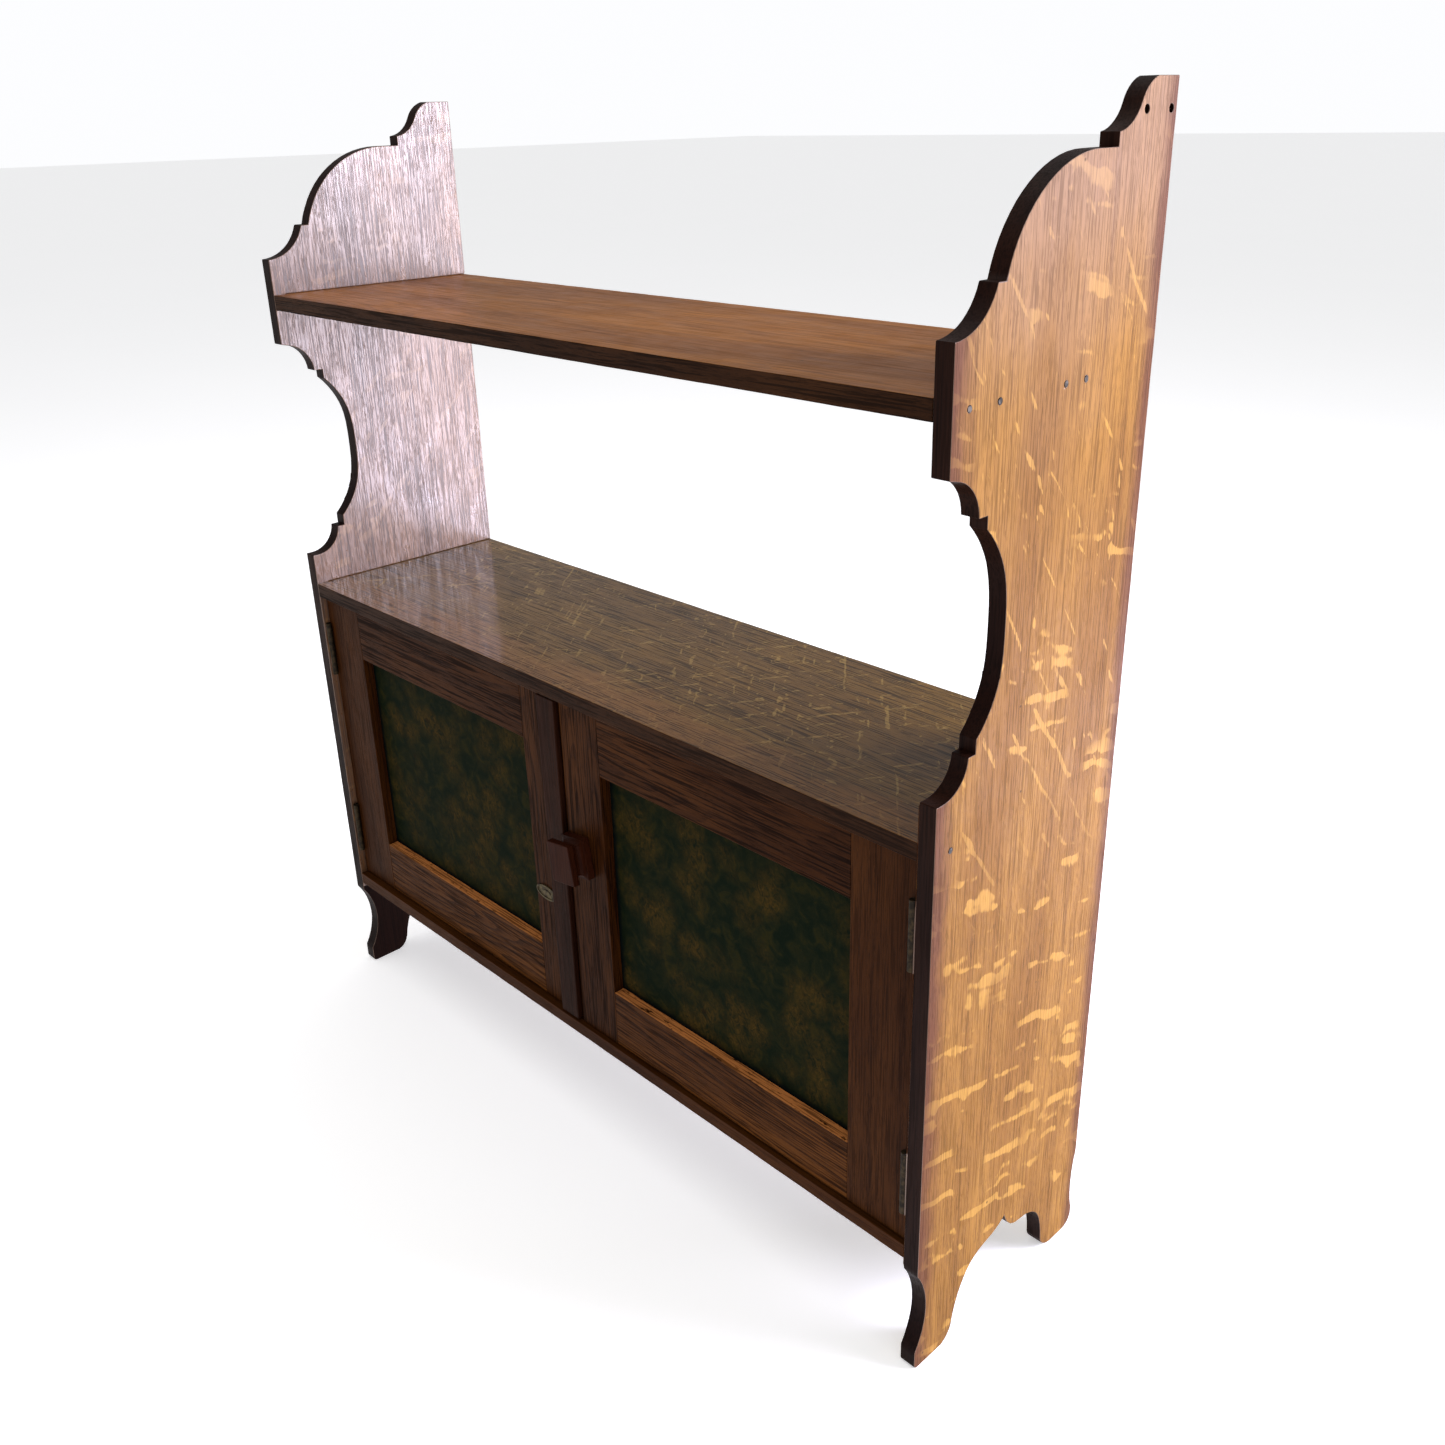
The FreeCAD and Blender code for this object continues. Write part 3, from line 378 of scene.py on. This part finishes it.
def painted_panel(name, seed, box):
    """Board painted dark blue-green and stippled over with ochre flowers and leaves."""
    s = Shader(name)
    shift = shift_of(seed)
    low, high = box
    field = s.warp(s.scaled((1, 1, 1), (0, 0, 0)), (26, 26, 26), (30, 30, 30), shift)
    flowers = s.cells(s.scaled((40, 40, 40), shift, field))
    clump = s.noise(s.scaled((70, 70, 70), shift), detail=2.0)
    petals = s.smooth(flowers, 0.80, 0.14)
    eye = s.smooth(flowers, 0.10, 0.05)
    dabs = s.noise(s.scaled((6, 6, 8), shift), detail=4.0, rough=0.7, distortion=1.2)
    leaf = s.noise(s.scaled((17, 17, 17), shift), detail=3.0, rough=0.6, distortion=0.8)
    ground = s.mix(s.smooth(leaf, 0.35, 0.65), PAINT["deep"], PAINT["green"])
    ground = s.mix(s.mul(s.smooth(leaf, 0.54, 0.68), 0.6), ground, PAINT["olive"])
    amount = s.mul(petals, s.smooth(clump, 0.28, 0.60))
    amount = s.mul(amount, s.smooth(dabs, 0.30, 0.60))
    colour = s.mix(s.mul(amount, 0.80), ground, PAINT["ochre"])
    colour = s.mix(s.mul(s.mul(amount, s.smooth(dabs, 0.56, 0.70)), 0.45), colour, PAINT["bright"])
    colour = s.mix(s.mul(eye, 0.6), colour, PAINT["eye"])
    # the paint is darkest along the frame, with a ragged border
    ragged = s.mul(s.noise(s.scaled((9, 9, 9), shift), detail=4.0, rough=0.7), 9.0)
    from_left = s.sub(s.xyz[0], low.x / MM)
    from_right = s.sub(high.x / MM, s.xyz[0])
    from_low = s.sub(s.xyz[2], low.z / MM)
    from_high = s.sub(high.z / MM, s.xyz[2])
    across = s.math("MINIMUM", from_left, from_right)
    upward = s.math("MINIMUM", from_low, from_high)
    nearest = s.math("MINIMUM", across, upward)
    border = s.smooth(s.sub(nearest, ragged), 9.0, 3.0)
    colour = s.mix(s.mul(border, 0.85), colour, PAINT["border"])
    relief = s.add(s.mul(dabs, 0.7), s.mul(leaf, 0.3))
    rough = s.add(0.42, s.mul(dabs, 0.25))
    return s.finish(colour=colour, rough=rough, bump=s.bump(relief, 0.35, 0.6), coat=0.0, shine=0.01)


BRASS = ((0.045, 0.030, 0.014), (0.014, 0.010, 0.006))
RUBBED_BRASS = ((0.095, 0.070, 0.030), (0.026, 0.018, 0.009))
IRON = ((0.07, 0.06, 0.05), (0.02, 0.017, 0.014))


def dull_metal(name, seed, tones, rough):
    """Old metal in patches of a brighter and a duller tone."""
    s = Shader(name)
    bright, dull = tones
    shift = shift_of(seed)
    patches = s.noise(s.scaled((5, 5, 5), shift), detail=4.0, rough=0.6)
    fine = s.noise(s.scaled((0.7, 0.7, 0.7), shift), detail=2.0)
    colour = s.mix(s.smooth(patches, 0.38, 0.62), bright, dull)
    relief = s.add(s.mul(patches, 0.6), s.mul(fine, 0.4))
    gloss = s.add(rough - 0.1, s.mul(patches, 0.3))
    return s.finish(colour=colour, rough=gloss, metal=0.85, bump=s.bump(relief, 0.08, 0.5))


def floor_material():
    s = Shader("pale_floor")
    drift = s.noise(s.scaled((900, 900, 900), (0, 0, 0)), detail=2.0)
    colour = s.mix(drift, (0.90, 0.90, 0.905), (0.93, 0.93, 0.93))
    s.put(s.surface.inputs["Emission Color"], (1.0, 1.0, 1.0))
    s.put(s.surface.inputs["Emission Strength"], 0.45)
    return s.finish(colour=colour, rough=0.85, shine=0.1)


# ---------------------------------------------------------------- worn wood

def clean_copy(node):
    """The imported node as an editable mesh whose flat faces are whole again."""
    bm = bmesh.new()
    bm.from_mesh(frame["nodes"][node].data)
    bmesh.ops.remove_doubles(bm, verts=bm.verts, dist=2e-6)
    bmesh.ops.dissolve_limit(bm, angle_limit=math.radians(0.4), verts=bm.verts, edges=bm.edges,
                             delimit={"NORMAL"})
    return bm


def slice_along(bm, axis, step):
    """Cuts across the board, so that its long arrises can wander a little."""
    index = "XYZ".index(axis)
    low = min(v.co[index] for v in bm.verts)
    high = max(v.co[index] for v in bm.verts)
    count = int((high - low) / step)
    normal = Vector((0, 0, 0))
    normal[index] = 1.0
    for i in range(1, count):
        point = Vector((0, 0, 0))
        point[index] = low + (high - low) * i / count
        geometry = list(bm.verts) + list(bm.edges) + list(bm.faces)
        bmesh.ops.bisect_plane(bm, geom=geometry, dist=1e-6, plane_co=point, plane_no=normal)


def arrises(bm, least_angle=50.0):
    """Edges where two faces meet in an outward corner."""
    found = []
    for edge in bm.edges:
        if len(edge.link_faces) != 2:
            continue
        if edge.calc_face_angle_signed(0.0) > math.radians(least_angle):
            found.append(edge)
    return found


FACE_SQUARENESS = 0.75      # a polygon that looks less squarely along the face axis is an edge
# polygons facing between these two get the pale rubbed wood with a painted highlight
ARRIS_FLATTEST = 0.96
ARRIS_STEEPEST = 0.40
WEAR_WAVES = 38.0           # waves of wear per metre of arris, roughly
SHARP_ANGLE = 32.0


def worn_piece(node, body, material, grain, arris_mm, wear_mm, step=0.014,
               face=None, edge=None, rim_highlight=None, shadow_top=0.0):
    """The node's own shape with its arrises rounded and rubbed unevenly. An edge material, painted dark as
    shade, covers every face that doesn't look along the face axis, and paints a shadow on the inner face
    below the shadow top.
    A rim material, pale rubbed wood with a painted highlight, covers the rounded arrises between the two."""
    bm = clean_copy(node)
    slice_along(bm, grain, step)
    result = bmesh.ops.bevel(bm, geom=arrises(bm), offset=arris_mm * MM, offset_type="OFFSET",
                             segments=3, profile=0.5, affect="EDGES", clamp_overlap=False)
    bm.normal_update()
    moved = {}
    for vertex in result["verts"]:
        place = vertex.co * WEAR_WAVES
        depth = 0.5 + 0.5 * noise.noise(place) + 0.35 * noise.noise(place * 3.1)
        moved[vertex] = vertex.normal * (-max(0.0, depth) * wear_mm * MM)
    for vertex, change in moved.items():
        vertex.co += change
    mesh = bpy.data.meshes.new(node + "_worn")
    bm.to_mesh(mesh)
    bm.free()
    for polygon in mesh.polygons:
        polygon.use_smooth = True
    mesh.set_sharp_from_angle(angle=math.radians(SHARP_ANGLE))
    mesh.materials.append(material)
    if edge:
        mesh.materials.append(edge)
        if rim_highlight:
            mesh.materials.append(rim_highlight)
        # faces turned from the face axis get the edge material, which is painted shade; inner faces below
        # the shadow top get it too, as a painted shadow
        for polygon in mesh.polygons:
            facing = polygon.normal["XYZ".index(face)]
            if abs(facing) < FACE_SQUARENESS or (facing > 0 and polygon.center.z < shadow_top):
                polygon.material_index = 1
            # the rounded arrises between them get pale rubbed wood with a painted highlight
            if rim_highlight and ARRIS_FLATTEST > abs(facing) > ARRIS_STEEPEST:
                polygon.material_index = 2
    piece = bpy.data.objects.new(node + "_worn", mesh)
    bpy.context.scene.collection.objects.link(piece)
    weighted = piece.modifiers.new("even_normals", "WEIGHTED_NORMAL")
    weighted.keep_sharp = True
    weighted.weight = 80
    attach(piece, body)
    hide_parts(node)


# ---------------------------------------------------------------- the wooden pieces

PAINTED_SHADOW_TOP = 0.112       # top of the painted shadow on the inner face of the left foot, under the cupboard bottom


def build_case():
    # the sides' edge faces get painted shade: near-black oak with little shine
    edge = oak("oak_side_edges_painted_shade", "Z", "X", 6, PAINTED_SHADE_EDGE, pores=0.5, lines=0.5, shine=0.04)
    right = oak("oak_right_side", "Z", "X", 1, HONEY, pores=0.7, lines=0.5, flecks=side_flecks(0.95, 1.0),
                fleck_tone=WOOD_FLECK["honey"], rough=0.48, shine=0.06,
                masks=stains_and_glare(HANDLED, PAINTED_GLARE, 0.8, 22.0))
    left = oak("oak_left_side", "Z", "X", 5, SHADED, pores=1.0, lines=0.8, flecks=side_flecks(-0.8, 0.45),
               fleck_tone=WOOD_FLECK["shaded"], rough=0.30, shine=1.0)
    # the rounded arrises: pale rubbed wood with a painted highlight
    rim_highlight = oak("oak_rubbed_rim_painted_highlight", "Z", "X", 9, RIM_AND_HIGHLIGHT, pores=0.3, lines=0.3, shine=0.3)
    worn_piece("right_side", "carcass", right, "Z", 0.9, 0.35, face="X", edge=edge, rim_highlight=rim_highlight)
    # below the shadow top the left side's inner face takes the dark edge material as a painted shadow
    worn_piece("left_side", "carcass", left, "Z", 0.9, 0.35, face="X", edge=edge, rim_highlight=rim_highlight,
               shadow_top=PAINTED_SHADOW_TOP)
    # the shelf's and cupboard top's edge faces get painted shade
    edge = oak("oak_board_edges_painted_shade", "X", "Z", 7, PAINTED_SHADE_BOARD_EDGE, pores=0.8, lines=0.8, shine=0.04)
    shelf = oak("oak_shelf", "X", "Z", 3, SHELF, pores=0.25, lines=0.35, cathedral=0.25, shine=0.06)
    worn_piece("upper_shelf", "carcass", shelf, "X", 0.8, 0.35, face="Z", edge=edge)
    top = oak("oak_cupboard_top", "X", "Z", 8, UMBER, pores=0.9, lines=1.0, flecks=top_flecks,
              fleck_tone=WOOD_FLECK["umber"], rough=0.40, shine=0.08, coat=0.55,
              masks=warm_front_mask(WARM_FRONT))
    worn_piece("cupboard_top", "carcass", top, "X", 0.8, 0.35, face="Z", edge=edge)
    bottom = oak("oak_cupboard_bottom", "X", "Z", 4, DOOR, pores=0.8)
    worn_piece("cupboard_bottom", "carcass", bottom, "X", 0.8, 0.35)
    for index in (1, 2, 3):
        back = oak("oak_back_%d" % index, "Z", "Y", 20 + index, INNER, pores=0.7, cathedral=0.4, rough=0.6)
        worn_piece("back_board_%d" % index, "carcass", back, "Z", 0.5, 0.2)
    stops = oak("oak_stops", "X", "Y", 31, INNER, pores=0.5, rough=0.6)
    worn_piece("door_stops", "carcass", stops, "X", 0.5, 0.2)


def build_door(name, seed):
    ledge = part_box(name + "_bottom_rail")[1].z / MM
    stile = oak("oak_%s_hinge_stile" % name, "Z", "Y", seed, DOOR, pores=0.8, lines=0.6)
    worn_piece(name + "_hinge_stile", name, stile, "Z", 0.6, 0.25)
    stile = oak("oak_%s_meeting_stile" % name, "Z", "Y", seed + 1, DOOR, pores=0.9, lines=0.9, cathedral=0.4)
    worn_piece(name + "_meeting_stile", name, stile, "Z", 0.6, 0.25)
    rail = oak("oak_%s_top_rail" % name, "X", "Y", seed + 2, DOOR, pores=0.9, lines=1.0, cathedral=0.3)
    worn_piece(name + "_top_rail", name, rail, "X", 0.6, 0.25)
    rail = oak("oak_%s_bottom_rail" % name, "X", "Y", seed + 3, RAIL, pores=0.9, lines=0.9, cathedral=0.6,
               masks=worn_ledge(ledge))
    worn_piece(name + "_bottom_rail", name, rail, "X", 0.6, 0.35)
    panel = painted_panel("painted_%s" % name, seed + 4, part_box(name + "_panel"))
    worn_piece(name + "_panel", name, panel, "Z", 0.3, 0.1, step=0.05)
    beads = oak("oak_%s_beads" % name, "Z", "Y", seed + 5, INNER, pores=0.5, rough=0.6)
    worn_piece(name + "_panel_beads", name, beads, "Z", 0.4, 0.15, step=0.05)


def build_fittings():
    strip = oak("oak_cover_strip", "Z", "Y", 52, STRIP, pores=0.6)
    worn_piece("cover_strip", "left_door", strip, "Z", 1.4, 0.5)
    knob = oak("oak_knob", "Z", "Y", 61, KNOB, pores=0.4, lines=0.3, rough=0.38, shine=0.03)
    worn_piece("knob", "knob_turn", knob, "Z", 1.0, 0.3, step=0.006)
    brass = dull_metal("old_brass", 2, BRASS, 0.55)
    plate = dull_metal("rubbed_brass", 4, RUBBED_BRASS, 0.50)
    iron = dull_metal("old_iron", 3, IRON, 0.55)
    materials = {"brass": brass, "iron": iron}
    slots = {part["node"]: part["material_slot"] for part in frame["record"]["subparts"]}
    for node, thing in frame["nodes"].items():
        if slots.get(node) in materials:
            for holder in thing.material_slots:
                holder.material = plate if node == "oval_plate" else materials[slots[node]]


# ---------------------------------------------------------------- stage, light and camera

def area_light(name, place, target, size, power, colour):
    data = bpy.data.lights.new(name, "AREA")
    data.shape = "RECTANGLE"
    data.size, data.size_y = size
    data.energy = power
    data.color = colour
    light = bpy.data.objects.new(name, data)
    bpy.context.scene.collection.objects.link(light)
    light.location = place
    light.rotation_euler = (Vector(target) - Vector(place)).to_track_quat("-Z", "Y").to_euler()
    light.visible_camera = False


FLOOR_REACH = 40.0
BACKDROP_TOP = 0.08     # the backdrop is full up to this rise of the view direction,
DIM_FROM = 0.26         # and the studio is dim from this one up
DIM_CEILING = 0.42


def build_stage():
    mesh = bpy.data.meshes.new("floor")
    bm = bmesh.new()
    bmesh.ops.create_grid(bm, x_segments=2, y_segments=2, size=FLOOR_REACH)
    bm.to_mesh(mesh)
    bm.free()
    mesh.materials.append(floor_material())
    floor = bpy.data.objects.new("floor", mesh)
    bpy.context.scene.collection.objects.link(floor)
    floor.location.z = SIDE_LOW.z
    world = bpy.data.worlds.new("studio")
    world.use_nodes = True
    tree = world.node_tree
    background = tree.nodes["Background"]
    direction = tree.nodes.new("ShaderNodeTexCoord")
    parts = tree.nodes.new("ShaderNodeSeparateXYZ")
    rise = tree.nodes.new("ShaderNodeMapRange")
    rise.interpolation_type = "SMOOTHSTEP"
    rise.inputs["From Min"].default_value = BACKDROP_TOP
    rise.inputs["From Max"].default_value = DIM_FROM
    rise.inputs["To Min"].default_value = 1.0
    rise.inputs["To Max"].default_value = DIM_CEILING
    tree.links.new(direction.outputs["Generated"], parts.inputs[0])
    tree.links.new(parts.outputs["Z"], rise.inputs["Value"])
    tree.links.new(rise.outputs[0], background.inputs["Strength"])
    background.inputs["Color"].default_value = (0.98, 0.985, 1.0, 1.0)
    bpy.context.scene.world = world
    bpy.context.scene.view_settings.view_transform = "Standard"


def build_lights():
    area_light("window", (2.3, 1.5, 1.0), (0.0, 0.0, 0.80), (1.1, 2.0), 88.0, (0.86, 0.83, 1.0))
    area_light("high_window", (1.53, 1.17, 1.33), (-0.44, 0.0, 0.60), (0.60, 0.50), 40.0, (0.78, 0.79, 1.0))
    area_light("low_window", (1.02, 0.88, 0.14), (-0.44, 0.03, 0.50), (0.42, 0.26), 7.0, (0.72, 0.74, 1.0))
    area_light("ceiling", (0.0, 0.0, 3.6), (0.0, 0.0, 0.55), (4.0, 4.0), 65.0, (1.0, 0.98, 0.95))


CAMERA_AZIMUTH = 46.196     # degrees to the right of straight in front
CAMERA_ELEVATION = 23.310   # degrees downwards
CAMERA_ROLL = -1.418
CAMERA_RIGHT = 0.9771       # from the middle of the case
CAMERA_AHEAD = 0.69403      # in front of the sides' front edges
CAMERA_HEIGHT = 1.0137      # above the floor
CAMERA_LENS = 33.934
CAMERA_SHIFT = (-0.0091, -0.0189)


def build_camera():
    """The camera stands to the right of the front, level with the object's top and looking down."""
    azimuth, elevation, roll = (math.radians(a) for a in (CAMERA_AZIMUTH, CAMERA_ELEVATION, CAMERA_ROLL))
    place = Vector((CAMERA_RIGHT, FRONT - CAMERA_AHEAD, CAMERA_HEIGHT + SIDE_LOW.z))
    forward = Vector((-math.sin(azimuth) * math.cos(elevation),
                      math.cos(azimuth) * math.cos(elevation), -math.sin(elevation)))
    level = Vector((math.cos(azimuth), math.sin(azimuth), 0.0))
    upright = level.cross(forward)
    right = math.cos(roll) * level + math.sin(roll) * upright
    up = right.cross(forward)
    data = bpy.data.cameras.new("camera")
    data.sensor_width = 36.0
    data.lens = CAMERA_LENS
    data.shift_x, data.shift_y = CAMERA_SHIFT
    data.clip_start = 0.05
    camera = bpy.data.objects.new("camera", data)
    bpy.context.scene.collection.objects.link(camera)
    turn = Matrix((right, up, -forward)).transposed()
    camera.matrix_world = Matrix.Translation(place) @ turn.to_4x4()
    bpy.context.scene.camera = camera


build_case()
build_door("left_door", 11)
build_door("right_door", 41)
build_fittings()
build_stage()
build_lights()
build_camera()

bpy.context.view_layer.update()
